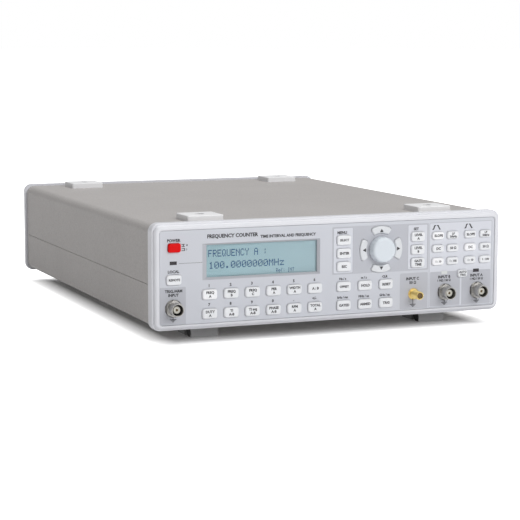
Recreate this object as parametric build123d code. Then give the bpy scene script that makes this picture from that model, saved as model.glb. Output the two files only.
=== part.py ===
from build123d import *
import math
import os

# A half-rack bench frequency counter. Millimetres, +Z up, the front panel faces -Y.
# X is measured from the middle. The origin is on the table under the middle of the whole object.
# Inside this script a place is given by x, by its depth behind the front bezel's face, and by its
# height above the underside of the bezels.

# Whole case
WIDTH = 285.0
DEPTH = 365.0
HEIGHT = 78.1
FOOT_DROP = 9.8
MIDDLE = HEIGHT / 2
CLEARANCE = 0.2

# Bayonet and threaded sockets stand past the bezels, and set the overall depth
BARREL_REACH = 11.0
REAR_RIM_DEPTH = 7.5
FRONT_REACH = 10.4
REAR_REACH = BARREL_REACH - REAR_RIM_DEPTH
FRONT_Y = -(DEPTH + REAR_REACH - FRONT_REACH) / 2

# Bezels
BEZEL_DEPTH = 10.5
BEZEL_CORNER = 6.5
BEZEL_EDGE = 3.0
STEP_DEPTH = 2.8
STEP_EDGE = 1.2
RIM_INSET = 1.4
RIM_EDGE = 2.6
OPENING_BEVEL = 0.4
LIP_DEPTH = 2.6
TONGUE_DEPTH = 20.0
REAR_GROOVE = 1.0

# Front panel
PANEL_FACE = 0.6
PANEL_THICKNESS = 2.0
PANEL_WIDTH = 274.4
PANEL_HEIGHT = 68.8
PANEL_CORNER = 2.5
PANEL_MIDDLE = 38.55

# Display: its mouth in the panel's face, the smaller opening at the foot of its bevels, and the module
MOUTH_PLACE = (-57.8, 49.15)
MOUTH_SIZE = (93.2, 26.6)
OPENING_PLACE = (-57.0, 49.35)
OPENING_SIZE = (87.6, 23.6)
BEVEL_DEPTH = 1.2
WINDOW_DEPTH = 2.6
WINDOW_THICKNESS = 1.0
MODULE_PLACE = (-57.0, 49.15)
MODULE_FACE = 3.7
GLASS_DEPTH = 3.9

# Case shells
CASE_WIDTH = 281.8
CASE_HEIGHT = 74.8
CASE_CORNER = 6.0
SHEET = 1.2
SEAM_HEIGHT = 32.7
SEAM_GAP = 0.3
CASE_END = DEPTH - REAR_RIM_DEPTH - REAR_GROOVE

# Circuit boards
BOARD_DEPTH = 14.0
BOARD_THICKNESS = 1.6
MAIN_BOARD_HEIGHT = 12.0

# Keys
KEY_FACE = -1.1
KEY_BACK = 6.5
KEY_TRAVEL = 1.3
KEY_CORNER = 2.0
KEY_EDGE = 1.1
FLANGE = 0.5
FLANGE_FACE = LIP_DEPTH + 0.3
STEM_RADIUS = 1.5
SWITCH_FACE = 10.0
SWITCH_SIZE = 6.0
STEM_END = 11.2
WIDE_KEY = (11.5, 7.5)
CHANNEL_KEY = (10.0, 5.8)
TRIGGER_KEY = (8.4, 5.9)
POWER_KEY = (9.6, 6.5)
POWER_PLACE = (-126.1, 60.4)
POWER_CORNER = 1.6
POWER_FACE = -1.7
POWER_BACK = 5.3
POWER_TRAVEL = 3.0
POWER_STEM_RADIUS = 2.0
POWER_STEM_END = 10.5

# Knob and arrow keys
KNOB_PLACE = (39.1, 52.0)
KNOB_BASE_RADIUS = 10.2
KNOB_TOP_RADIUS = 9.8
KNOB_FRONT = -6.4
KNOB_BACK = 0.2
KNOB_EDGE = 2.2
SHAFT_RADIUS = 3.0
SHAFT_END = 12.0
BUSHING_RADIUS = 4.5
BUSHING_FACE = 0.8
ARROW_INNER = 12.1
ARROW_OUTER = 17.8
ARROW_HALF_ANGLE = 29.5
ARROW_FACE = -0.6
ARROW_MIDDLE = 14.9
ARROW_ANGLES = {"right": 0, "up": 90, "left": 180, "down": 270}

# Coaxial sockets: the front ones sit in shallow recesses in the panel
SOCKET_SEAT = 2.0
SOCKET_HEIGHT = 16.4
TRIGGER_SOCKET_X = -126.6
INPUT_B_X = 94.5
INPUT_A_X = 122.6
INPUT_C_X = 67.2
BARREL_RADIUS = 4.8
SOCKET_BODY_RADIUS = 4.75
SOCKET_FLANGE_RADIUS = 6.5
GOLD_RADIUS = 3.175
GOLD_FLANGE_RADIUS = 4.4
FLANGE_PLAY = 0.1
REAR_SOCKET_X = (-20.0, 10.0, 40.0, 70.0)
REAR_SOCKET_HEIGHT = 54.0

# Lamps: x, height, width, height of the window
LAMPS = ((-126.7, 49.3, 5.4, 2.6), (121.4, 31.9, 5.2, 2.6), (93.6, 31.5, 5.2, 2.6))

# Pads, feet and tilt legs
PAD_X = 94.6
PAD_WIDTH = 28.5
PAD_LENGTH = 25.5
PAD_RISE = 4.4
PAD_DEPTHS = (32.3, 332.7)
FOOT_WIDTH = 22.2
FOOT_LENGTH = 30.0
FOOT_FRONTS = (22.0, 318.0)
POCKET_START = 1.4
POCKET_END = 25.0
POCKET_WIDTH = 17.2
POCKET_ROOF = -3.2
FOOT_SCREW = 18.0

# Tilt legs: the pivot is measured from the front of the foot
PIVOT_SETBACK = 7.2
PIVOT_HEIGHT = -6.4
PIVOT_RADIUS = 1.5
PIVOT_PLAY = 0.06
CAM_RADIUS = 6.2
CAM_PLAY = 0.25
CAM_LEAN = 48.1
CAM_BACK = 1.6
LEG_BOTTOM = -9.5
LEG_TOP = -5.7
LEG_WIDTH = 16.4
LEG_END = 24.6
RIB_WIDTH = 4.0
RIB_END = 12.8
RIB_LIFT = 0.8
SLOT_WIDTH = 4.6
SLOT_END = 14.2
CUTTER = 60.0
FOOT_SCREW_HEAD = 1.8

# Screws
CORNER_SCREW_X = 132.0
CORNER_SCREW_HEIGHTS = (9.2, 67.8)
ROD_RADIUS = 2.0
SCREW_PLAY = 0.06
BOARD_SCREWS = ((-116, 70), (116, 70), (-116, 205), (116, 205), (-116, 340), (116, 340))

# Rear panel
REAR_FACE = DEPTH - REAR_RIM_DEPTH
REAR_SHEET = 1.5
INLET_PLACE = (-92.0, 40.0)
INLET_BODY = (27.2, 19.8)
INLET_FLANGE = (50.0, 24.0)
INLET_SCREW_SPACING = 40.0
DATA_PLACE = (50.0, 20.3)
DATA_SIZE = (19.2, 11.0)
USB_PLACE = (92.0, 19.6)
USB_SIZE = (12.1, 11.0)


def column(x_first, pitch, count):
    return [x_first + pitch * i for i in range(count)]


def key_table():
    """Name, x, height and cap size of each rectangular key."""
    keys = {"remote_key": (-126.5, 37.2, WIDE_KEY)}
    function_x = column(-99.1, 16.72, 6)
    lower_heights = (25.3, 11.2)
    for row, height in enumerate(lower_heights):
        for i, x in enumerate(function_x):
            keys[f"function_key_{row * 6 + i + 1}"] = (x, height, WIDE_KEY)
    unit_names = (("offset", "hold", "reset"), ("gated", "armed", "trigger"))
    for names, height in zip(unit_names, lower_heights):
        for name, x in zip(names, column(8.1, 17.6, 3)):
            keys[f"{name}_key"] = (x, height, WIDE_KEY)
    heights = (60.3, 50.35, 40.4)
    for name, height in zip(("menu_select", "menu_enter", "menu_escape"), heights):
        keys[f"{name}_key"] = (8.0, height, WIDE_KEY)
    for name, height in zip(("level_a", "level_b", "gate_time"), heights):
        keys[f"{name}_key"] = (70.1, height, WIDE_KEY)
    for channel, columns in (("b", (87.4, 100.1)), ("a", (115.3, 128.6))):
        places = [(x, height) for height in heights for x in columns]
        for i, (x, height) in enumerate(places):
            keys[f"channel_{channel}_key_{i + 1}"] = (x, height, CHANNEL_KEY)
    keys["auto_trigger_key"] = (109.0, 30.2, TRIGGER_KEY)
    return keys


KEYS = key_table()


# Drawing helpers

def rounded(x, height, size, radius, grow=0.0):
    """A rounded rectangle in the front view, grown outward on all sides."""
    sketch = RectangleRounded(size[0] + 2 * grow, size[1] + 2 * grow, radius + grow)
    return Pos(x, height) * sketch


def disc(x, height, radius):
    return Pos(x, height) * Circle(radius)


def prism(sketch, depth_0, depth_1):
    """Pushes a front-view sketch from one depth to another."""
    origin = (0, FRONT_Y + depth_1, FOOT_DROP)
    plane = Plane(origin=origin, x_dir=(1, 0, 0), z_dir=(0, -1, 0))
    return extrude(plane * sketch, depth_1 - depth_0)


def taper(sketch_0, depth_0, sketch_1, depth_1):
    """Joins two front-view sketches at different depths by sloping sides."""
    ends = []
    for sketch, depth in ((sketch_0, depth_0), (sketch_1, depth_1)):
        origin = (0, FRONT_Y + depth, FOOT_DROP)
        ends.append(Plane(origin=origin, x_dir=(1, 0, 0), z_dir=(0, -1, 0)) * sketch)
    return loft(ends)


def block(x_0, x_1, depth_0, depth_1, height_0, height_1):
    middle = Pos((x_0 + x_1) / 2, FRONT_Y + (depth_0 + depth_1) / 2, FOOT_DROP + (height_0 + height_1) / 2)
    return middle * Box(x_1 - x_0, depth_1 - depth_0, height_1 - height_0)


def upright(x, depth, height_0, height_1, radius):
    place = Pos(x, FRONT_Y + depth, FOOT_DROP + (height_0 + height_1) / 2)
    return place * Cylinder(radius, height_1 - height_0)


def crosswise(x_0, x_1, depth, height, radius):
    place = Pos((x_0 + x_1) / 2, FRONT_Y + depth, FOOT_DROP + height)
    return place * Rot(0, 90, 0) * Cylinder(radius, x_1 - x_0)


def rod(radius, y_0, y_1):
    """A cylinder on the Y axis, for pieces drawn about their own axis."""
    return Pos(0, (y_0 + y_1) / 2, 0) * Rot(90, 0, 0) * Cylinder(radius, y_1 - y_0)


def round_front(part, radius):
    return fillet(part.edges().group_by(Axis.Y)[0], radius)


def round_back(part, radius):
    return fillet(part.edges().group_by(Axis.Y)[-1], radius)


def corner_places():
    return [(side * CORNER_SCREW_X, h) for side in (-1, 1) for h in CORNER_SCREW_HEIGHTS]


def arrow_sketch(angle, grow=0.0):
    """A piece of a ring round the knob, with rounded corners."""
    ring = Circle(ARROW_OUTER + grow) - Circle(ARROW_INNER - grow)
    spread = math.radians(ARROW_HALF_ANGLE) + grow / ARROW_MIDDLE
    reach = 2 * ARROW_OUTER
    corner = (reach * math.cos(spread), reach * math.sin(spread))
    wedge = make_face(Polyline((0, 0), (corner[0], -corner[1]), corner, (0, 0)))
    sector = ring & wedge
    sector = fillet(sector.vertices(), 1.7)
    return Pos(*KNOB_PLACE) * Rot(0, 0, angle) * sector


def arrow_stem_place(angle):
    turn = math.radians(angle)
    x = KNOB_PLACE[0] + ARROW_MIDDLE * math.cos(turn)
    return x, KNOB_PLACE[1] + ARROW_MIDDLE * math.sin(turn)


# Front of the case

def front_bezel():
    body = prism(rounded(0, MIDDLE, (WIDTH, HEIGHT), BEZEL_CORNER), STEP_DEPTH, BEZEL_DEPTH)
    rim = prism(rounded(0, MIDDLE, (WIDTH, HEIGHT), BEZEL_CORNER, -RIM_INSET), 0, BEZEL_DEPTH)
    frame = round_front(body, STEP_EDGE) + round_front(rim, RIM_EDGE)
    panel_size = (PANEL_WIDTH, PANEL_HEIGHT)
    opening = rounded(0, PANEL_MIDDLE, panel_size, PANEL_CORNER)
    mouth = rounded(0, PANEL_MIDDLE, panel_size, PANEL_CORNER, OPENING_BEVEL)
    frame -= prism(opening, 0, LIP_DEPTH) + taper(mouth, 0, opening, OPENING_BEVEL)
    frame -= prism(rounded(0, PANEL_MIDDLE, (270.0, 64.8), 2.0), LIP_DEPTH, BEZEL_DEPTH)
    tongue = rounded(0, MIDDLE, (CASE_WIDTH, CASE_HEIGHT), CASE_CORNER, -SHEET - 0.1)
    tongue -= rounded(0, MIDDLE, (273.0, 66.6), 2.0)
    frame += prism(tongue, BEZEL_DEPTH, TONGUE_DEPTH)
    for x, height in corner_places():
        corner = rounded(x, height, (9.6, 9.6), 1.0)
        side = math.copysign(5.0, x)
        link = Pos(x + side, height) * Rectangle(3.0, 7.0)
        boss = corner + link - disc(x, height, ROD_RADIUS + SCREW_PLAY)
        frame += prism(boss, BOARD_DEPTH + BOARD_THICKNESS, 34.0)
    return frame


def panel_holes():
    """Everything that reaches through the front panel, as one sketch list."""
    holes = [rounded(x, h, size, KEY_CORNER, CLEARANCE) for x, h, size in KEYS.values()]
    holes.append(rounded(*POWER_PLACE, POWER_KEY, POWER_CORNER, CLEARANCE))
    holes += [arrow_sketch(angle, CLEARANCE) for angle in ARROW_ANGLES.values()]
    holes += [Pos(x, h) * Rectangle(w, t) for x, h, w, t in LAMPS]
    for x in (TRIGGER_SOCKET_X, INPUT_B_X, INPUT_A_X):
        holes.append(disc(x, SOCKET_HEIGHT, SOCKET_BODY_RADIUS))
    holes.append(disc(INPUT_C_X, SOCKET_HEIGHT, GOLD_RADIUS))
    holes.append(disc(*KNOB_PLACE, BUSHING_RADIUS))
    return holes


def front_panel():
    plate = rounded(0, PANEL_MIDDLE, (PANEL_WIDTH, PANEL_HEIGHT), PANEL_CORNER, -0.25)
    for hole in panel_holes():
        plate -= hole
    panel = prism(plate, PANEL_FACE, PANEL_FACE + PANEL_THICKNESS)
    opening = Pos(*OPENING_PLACE) * Rectangle(*OPENING_SIZE)
    panel -= display_bevels() + prism(opening, PANEL_FACE, WINDOW_DEPTH)
    for x in (TRIGGER_SOCKET_X, INPUT_B_X, INPUT_A_X):
        panel -= prism(disc(x, SOCKET_HEIGHT, SOCKET_FLANGE_RADIUS + FLANGE_PLAY), PANEL_FACE, SOCKET_SEAT)
    recess = disc(INPUT_C_X, SOCKET_HEIGHT, GOLD_FLANGE_RADIUS + FLANGE_PLAY)
    return panel - prism(recess, PANEL_FACE, SOCKET_SEAT)


def display_bevels():
    """The wide bevels round the display, deepest at its opening."""
    mouth = Pos(*MOUTH_PLACE) * Rectangle(*MOUTH_SIZE)
    opening = Pos(*OPENING_PLACE) * Rectangle(*OPENING_SIZE)
    return taper(mouth, PANEL_FACE, opening, PANEL_FACE + BEVEL_DEPTH)


def display_window():
    plate = Pos(*MODULE_PLACE) * Rectangle(98.0, 28.0)
    return prism(plate, WINDOW_DEPTH, WINDOW_DEPTH + WINDOW_THICKNESS)


def rectangular_key(x, height, size):
    cap = prism(rounded(x, height, size, KEY_CORNER), KEY_FACE, KEY_BACK)
    cap = round_front(cap, KEY_EDGE)
    flange = prism(rounded(x, height, size, KEY_CORNER, FLANGE), FLANGE_FACE, KEY_BACK)
    stem = prism(disc(x, height, STEM_RADIUS), KEY_BACK, STEM_END)
    return cap + flange + stem


def power_button():
    cap = prism(rounded(*POWER_PLACE, POWER_KEY, POWER_CORNER), POWER_FACE, POWER_BACK)
    cap = round_front(cap, KEY_EDGE)
    flange = prism(rounded(*POWER_PLACE, POWER_KEY, POWER_CORNER, FLANGE), FLANGE_FACE, POWER_BACK)
    stem = prism(disc(*POWER_PLACE, POWER_STEM_RADIUS), POWER_BACK, POWER_STEM_END)
    return cap + flange + stem


def arrow_key(angle):
    cap = round_front(prism(arrow_sketch(angle), ARROW_FACE, KEY_BACK), KEY_EDGE)
    flange = prism(arrow_sketch(angle, FLANGE), FLANGE_FACE, KEY_BACK)
    stem = prism(disc(*arrow_stem_place(angle), STEM_RADIUS), KEY_BACK, STEM_END)
    return cap + flange + stem


def control_knob():
    """Turned cap with shallow finger flutes, on its shaft."""
    front = KNOB_FRONT - KNOB_BACK
    outline = Polyline((0, front), (KNOB_TOP_RADIUS, front), (KNOB_BASE_RADIUS, 0), (0, 0), (0, front))
    cap = revolve(make_face(outline), Axis.Y)
    cap = round_front(cap, KNOB_EDGE)
    slope = math.degrees(math.atan2(KNOB_BASE_RADIUS - KNOB_TOP_RADIUS, KNOB_BACK - KNOB_FRONT))
    flute = Pos(0, front / 2, (KNOB_BASE_RADIUS + KNOB_TOP_RADIUS) / 2 + 2.05) * Rot(90 - slope, 0, 0)
    for i in range(16):
        cap -= Rot(0, i * 360 / 16, 0) * flute * Cylinder(2.3, 16.0)
    cap += rod(SHAFT_RADIUS, 0, SHAFT_END - KNOB_BACK)
    return Pos(KNOB_PLACE[0], FRONT_Y + KNOB_BACK, FOOT_DROP + KNOB_PLACE[1]) * cap


# Sockets

def bayonet_socket():
    """Bayonet socket about the origin, its flange on y = 0, its mouth facing -Y."""
    socket = rod(SOCKET_FLANGE_RADIUS, -1.6, 0) + rod(BARREL_RADIUS, -BARREL_REACH, -1.6)
    socket -= rod(4.05, -BARREL_REACH, -2.6)
    socket += rod(2.4, -9.6, -2.6)
    socket -= rod(0.7, -9.6, -5.0)
    lugs = Pos(0, -BARREL_REACH + 4.6, 0) * Cylinder(0.95, 2 * BARREL_RADIUS + 1.5)
    socket += lugs - rod(BARREL_RADIUS - 0.3, -BARREL_REACH, 0)
    socket += rod(SOCKET_BODY_RADIUS, 0, 11.4)
    return socket


def threaded_socket():
    socket = rod(GOLD_FLANGE_RADIUS, -1.4, 0) + rod(GOLD_RADIUS, -FRONT_REACH - SOCKET_SEAT, -1.4)
    socket -= rod(2.3, -FRONT_REACH - SOCKET_SEAT, -7.0)
    socket += rod(2.05, -11.6, -7.0) - rod(0.5, -11.6, -8.0)
    return socket + rod(GOLD_RADIUS, 0, 11.4)


def coax_sockets():
    """Three bayonet sockets and a small threaded one in front, four bayonet sockets behind."""
    sockets = []
    front_y = FRONT_Y + SOCKET_SEAT
    for x in (TRIGGER_SOCKET_X, INPUT_B_X, INPUT_A_X):
        sockets.append(Pos(x, front_y, FOOT_DROP + SOCKET_HEIGHT) * bayonet_socket())
    sockets.append(Pos(INPUT_C_X, front_y, FOOT_DROP + SOCKET_HEIGHT) * threaded_socket())
    for x in REAR_SOCKET_X:
        place = Pos(x, FRONT_Y + REAR_FACE, FOOT_DROP + REAR_SOCKET_HEIGHT)
        sockets.append(place * Rot(0, 0, 180) * bayonet_socket())
    return Compound(children=sockets)


# Case shells, pads and feet

def shell_profile():
    outer = rounded(0, MIDDLE, (CASE_WIDTH, CASE_HEIGHT), CASE_CORNER)
    return outer - rounded(0, MIDDLE, (CASE_WIDTH, CASE_HEIGHT), CASE_CORNER, -SHEET)


def top_cover():
    seam = SEAM_HEIGHT + SEAM_GAP / 2
    above = Pos(0, seam + HEIGHT / 2) * Rectangle(WIDTH, HEIGHT)
    cover = prism(shell_profile() & above, BEZEL_DEPTH, CASE_END)
    for side in (-1, 1):
        for depth in PAD_DEPTHS:
            cover -= upright(side * PAD_X, depth, 70, 80, 1.6)
    return cover


def bottom_cover():
    """Lower shell, with a lap strip inside each seam and posts for the main board."""
    seam = SEAM_HEIGHT - SEAM_GAP / 2
    below = Pos(0, seam - HEIGHT / 2) * Rectangle(WIDTH, HEIGHT)
    cover = prism(shell_profile() & below, BEZEL_DEPTH, CASE_END)
    wall = CASE_WIDTH / 2 - SHEET
    floor = MIDDLE - CASE_HEIGHT / 2 + SHEET
    for side in (-1, 1):
        near, far = sorted((side * wall, side * (wall - SHEET)))
        cover += block(near, far, 36, 340, 24, 40)
        for front in FOOT_FRONTS:
            cover -= upright(side * PAD_X, front + FOOT_SCREW, 0, 5, 1.6)
    for x, depth in BOARD_SCREWS:
        post = upright(x, depth, floor, MAIN_BOARD_HEIGHT, 3.0)
        cover += post - upright(x, depth, floor + 1, MAIN_BOARD_HEIGHT, 1.5 + SCREW_PLAY)
    for row in range(3):
        for i in range(12):
            x = -44 + 8 * i
            cover -= block(x - 1.2, x + 1.2, 120 + 60 * row, 150 + 60 * row, 0, 5)
    return cover


def stacking_pads():
    """Four pads that hold the feet of another instrument."""
    top = MIDDLE + CASE_HEIGHT / 2
    pads = []
    for side in (-1, 1):
        for depth in PAD_DEPTHS:
            x = side * PAD_X
            pad = block(x - PAD_WIDTH / 2, x + PAD_WIDTH / 2, depth - PAD_LENGTH / 2, depth + PAD_LENGTH / 2,
                        top, top + PAD_RISE)
            pad = fillet(pad.edges().filter_by(Axis.Z), 1.5)
            pad = fillet(pad.edges().group_by(Axis.Z)[-1], 0.8)
            pad -= upright(x, depth, top + 2.0, top + PAD_RISE, 3.3)
            pads.append(pad - upright(x, depth, top, top + 2.0, 1.6))
    return Compound(children=pads)


def bottom_feet():
    """Four moulded feet, each with room for a tilt leg: only the front pair has one."""
    top = MIDDLE - CASE_HEIGHT / 2
    feet = []
    for side in (-1, 1):
        for front in FOOT_FRONTS:
            x = side * PAD_X
            foot = block(x - FOOT_WIDTH / 2, x + FOOT_WIDTH / 2, front, front + FOOT_LENGTH, -FOOT_DROP, top)
            foot = fillet(foot.edges().filter_by(Axis.Z), 1.5)
            foot = fillet(foot.edges().group_by(Axis.Z)[0], 0.6)
            pivot = front + PIVOT_SETBACK
            foot -= block(x - POCKET_WIDTH / 2, x + POCKET_WIDTH / 2, front + POCKET_START, front + POCKET_END,
                          -FOOT_DROP, POCKET_ROOF)
            foot -= crosswise(x - FOOT_WIDTH, x + FOOT_WIDTH, pivot, PIVOT_HEIGHT, CAM_RADIUS + CAM_PLAY)
            rib = block(x - RIB_WIDTH / 2, x + RIB_WIDTH / 2, front + POCKET_START, front + RIB_END,
                        -FOOT_DROP + RIB_LIFT, top)
            foot += rib - crosswise(x - RIB_WIDTH, x + RIB_WIDTH, pivot, PIVOT_HEIGHT, PIVOT_RADIUS + PIVOT_PLAY)
            foot -= upright(x, front + FOOT_SCREW, POCKET_ROOF, POCKET_ROOF + 2.0, 3.6)
            feet.append(foot - upright(x, front + FOOT_SCREW, POCKET_ROOF, top, 1.6))
    return Compound(children=feet)


def tilt_leg(x):
    """Flat leg that folds into its foot, with a rounded cam at each side and an axle through the foot's rib."""
    front = FOOT_FRONTS[0]
    pivot = front + PIVOT_SETBACK
    cam = crosswise(x - FOOT_WIDTH / 2 + 0.05, x + FOOT_WIDTH / 2 - 0.05, pivot, PIVOT_HEIGHT, CAM_RADIUS)
    axle_place = Pos(x, FRONT_Y + pivot, FOOT_DROP + PIVOT_HEIGHT)
    cam -= axle_place * Rot(CAM_LEAN, 0, 0) * Pos(0, 0, -CAM_BACK - CUTTER / 2) * Box(CUTTER, CUTTER, CUTTER)
    cam -= block(x - FOOT_WIDTH, x + FOOT_WIDTH, front, pivot + CUTTER, LEG_BOTTOM - CUTTER, LEG_BOTTOM)
    plate = block(x - LEG_WIDTH / 2, x + LEG_WIDTH / 2, pivot, front + LEG_END, LEG_BOTTOM, LEG_TOP)
    slot = block(x - SLOT_WIDTH / 2, x + SLOT_WIDTH / 2, front, front + SLOT_END,
                 LEG_BOTTOM - CUTTER, LEG_TOP + CUTTER)
    return cam + plate - slot + crosswise(x - SLOT_WIDTH, x + SLOT_WIDTH, pivot, PIVOT_HEIGHT, PIVOT_RADIUS)


# Rear of the case

def rear_bezel():
    outline = rounded(0, MIDDLE, (WIDTH, HEIGHT), BEZEL_CORNER)
    rim = round_back(prism(outline, REAR_FACE, DEPTH), BEZEL_EDGE)
    rim -= prism(rounded(0, MIDDLE, (267.0, 63.5), 3.0), REAR_FACE, DEPTH)
    tongue = rounded(0, MIDDLE, (CASE_WIDTH, CASE_HEIGHT), CASE_CORNER, -SHEET - 0.1)
    tongue -= rounded(0, MIDDLE, (273.6, 66.0), 2.0)
    rim += prism(tongue, REAR_FACE - 12, REAR_FACE)
    for x, height in corner_places():
        lug = prism(rounded(x, height, (11.0, 11.0), 2.0), REAR_FACE, DEPTH - 0.6)
        rim += lug
        rim -= prism(disc(x, height, ROD_RADIUS + 0.25), REAR_FACE, DEPTH)
        rim -= prism(disc(x, height, 4.1), DEPTH - 3.4, DEPTH)
    return rim


def vent_slots():
    return [Pos(98 + 5 * i, 52) * SlotOverall(24, 2.4, rotation=90) for i in range(6)]


def rear_panel():
    plate = rounded(0, MIDDLE, (273.2, 65.6), 2.0)
    for x, height in corner_places():
        plate -= disc(x, height, ROD_RADIUS + 0.25)
    plate -= rounded(*INLET_PLACE, INLET_BODY, 1.0, 0.15)
    for side in (-1, 1):
        plate -= disc(INLET_PLACE[0] + side * INLET_SCREW_SPACING / 2, INLET_PLACE[1], 1.6)
    for x in REAR_SOCKET_X:
        plate -= disc(x, REAR_SOCKET_HEIGHT, SOCKET_BODY_RADIUS)
    plate -= rounded(*DATA_PLACE, DATA_SIZE, 1.0, 0.2)
    plate -= rounded(*USB_PLACE, USB_SIZE, 0.5, 0.2)
    for slot in vent_slots():
        plate -= slot
    return prism(plate, REAR_FACE - REAR_SHEET, REAR_FACE)


def mains_inlet():
    """Three-pin appliance inlet: flange outside the panel, body inside, open cavity to the rear."""
    x, height = INLET_PLACE
    flange = rounded(x, height, INLET_FLANGE, 4.0)
    for side in (-1, 1):
        flange -= disc(x + side * INLET_SCREW_SPACING / 2, height, 1.6)
    face = REAR_FACE + 3.0
    inlet = prism(flange, REAR_FACE, face)
    inlet += prism(rounded(x, height, INLET_BODY, 1.0), REAR_FACE - 18, REAR_FACE)
    mouth = Pos(x, height) * Rectangle(24.4, 16.8)
    upper = mouth.vertices().group_by(Axis.Y)[-1]
    inlet -= prism(chamfer(upper, 4.5), face - 16.5, face)
    for offset, rise in ((-7.0, -2.0), (0.0, 2.0), (7.0, -2.0)):
        blade = Pos(x + offset, height + rise) * Rectangle(2.0, 4.0)
        inlet += prism(blade, face - 16.5, face - 5.0)
        inlet += prism(blade, REAR_FACE - 25, REAR_FACE - 18)
    return inlet


# Inside

def key_switches():
    places = [(x, h) for x, h, _ in KEYS.values()]
    places += [arrow_stem_place(angle) for angle in ARROW_ANGLES.values()]
    bodies = [Pos(x, h) * Rectangle(SWITCH_SIZE, SWITCH_SIZE) for x, h in places]
    switches = Sketch() + bodies
    for x, height in places:
        switches -= disc(x, height, STEM_RADIUS + CLEARANCE)
    return prism(switches, SWITCH_FACE, BOARD_DEPTH)


def front_board():
    """Board behind the panel with its switches, encoder, lamps and display module."""
    outline = rounded(0, PANEL_MIDDLE, (270.4, 64.0), 1.0)
    for x, height in corner_places():
        outline -= disc(x, height, ROD_RADIUS + 0.2)
    board = prism(outline, BOARD_DEPTH, BOARD_DEPTH + BOARD_THICKNESS) + key_switches()
    power = Pos(*POWER_PLACE) * Rectangle(9.0, 8.0)
    power -= disc(*POWER_PLACE, POWER_STEM_RADIUS + CLEARANCE)
    board += prism(power, 9.0, BOARD_DEPTH)
    board += prism(Pos(*POWER_PLACE) * Rectangle(9.0, 4.6), BOARD_DEPTH + BOARD_THICKNESS, 24.0)
    board += prism(Pos(*KNOB_PLACE) * Rectangle(12.4, 13.2), 8.4, BOARD_DEPTH)
    board += prism(disc(*KNOB_PLACE, BUSHING_RADIUS - 0.1), BUSHING_FACE, 8.4)
    board -= prism(disc(*KNOB_PLACE, SHAFT_RADIUS + 0.05), BUSHING_FACE, SHAFT_END + 0.6)
    for x, height, width, thickness in LAMPS:
        board += prism(Pos(x, height) * Rectangle(width - 0.2, thickness - 0.2), PANEL_FACE, BOARD_DEPTH)
    for x in (-60, 60):
        board += block(x - 14, x + 14, BOARD_DEPTH + BOARD_THICKNESS, 24, 12, 20)
    return Compound(children=[board, display_module()])


def display_module():
    """Metal-framed liquid crystal display, with its glass just behind the window."""
    case = Pos(*MODULE_PLACE) * Rectangle(99.0, 29.4)
    window = Pos(*MODULE_PLACE) * Rectangle(92.0, 26.0)
    module = prism(case, 8.0, 12.4) + prism(case - window, MODULE_FACE, 8.0) + prism(window, GLASS_DEPTH, 8.0)
    for side_x in (-1, 1):
        for side_z in (-1, 1):
            foot = disc(MODULE_PLACE[0] + side_x * 46, MODULE_PLACE[1] + side_z * 12, 1.8)
            module += prism(foot, 12.4, BOARD_DEPTH)
    return module


def mains_transformer(top):
    """Laminated core with a wound bobbin through it."""
    core = block(-112, -58, 258, 302, top + 4, top + 40)
    core -= block(-104, -90, 258, 302, top + 11, top + 33)
    core -= block(-80, -66, 258, 302, top + 11, top + 33)
    bobbin = block(-103.5, -66.5, 250, 310, top + 11.3, top + 32.7)
    bobbin -= block(-90, -80, 258, 302, top + 11.3, top + 32.7)
    feet = block(-112, -58, 262, 298, top, top + 4)
    return [core + feet, bobbin]


def capacitors(top):
    return [upright(x, 232, top, top + 26, 9.0) for x in (-104, -80, -56)]


def heat_sink(top):
    sink = block(-30, 30, 300, 304, top, top + 34)
    for i in range(9):
        x = -28 + 7 * i
        sink += block(x - 0.8, x + 0.8, 304, 324, top, top + 34)
    return sink


def main_board():
    """Board on the lower shell, with the supply, the reference oven, screening cans and connectors."""
    top = MAIN_BOARD_HEIGHT + BOARD_THICKNESS
    board = block(-122, 122, 60, 350, MAIN_BOARD_HEIGHT, top)
    for x, depth in BOARD_SCREWS:
        board -= upright(x, depth, MAIN_BOARD_HEIGHT, top, 1.7)
    pieces = [board, heat_sink(top)]
    pieces += mains_transformer(top) + capacitors(top)
    pieces.append(block(30, 66, 200, 227, top, top + 19))
    for x in (68, 18):
        pieces.append(block(x, x + 42, 66, 126, top, top + 14))
    pieces.append(block(-40, -10, 120, 150, top, top + 3))
    x, height = DATA_PLACE
    data = prism(rounded(x, height, DATA_SIZE, 1.0), REAR_FACE - 12, REAR_FACE + 4)
    pieces.append(data + block(x - 15, x + 15, REAR_FACE - 14, REAR_FACE - 2.0, top, top + 12))
    x, height = USB_PLACE
    usb = prism(rounded(x, height, USB_SIZE, 0.5), REAR_FACE - 16, REAR_FACE + 0.5)
    mouth = Pos(x, height) * Rectangle(8.6, 7.8)
    usb -= prism(mouth, REAR_FACE - 9, REAR_FACE + 0.5)
    pieces.append(usb + prism(Pos(x, height) * Rectangle(5.6, 3.2), REAR_FACE - 9, REAR_FACE - 1))
    return Compound(children=pieces)


# Fasteners

def tie_screw(x, height):
    shank = prism(disc(x, height, ROD_RADIUS), 23, DEPTH - 3.4)
    head = prism(disc(x, height, 3.7), DEPTH - 3.4, DEPTH - 1.0)
    return shank + round_back(head, 0.6)


def board_screw(x, height):
    return prism(disc(x, height, ROD_RADIUS), BOARD_DEPTH, 22.5) + prism(disc(x, height, 3.4), 12, BOARD_DEPTH)


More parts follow.
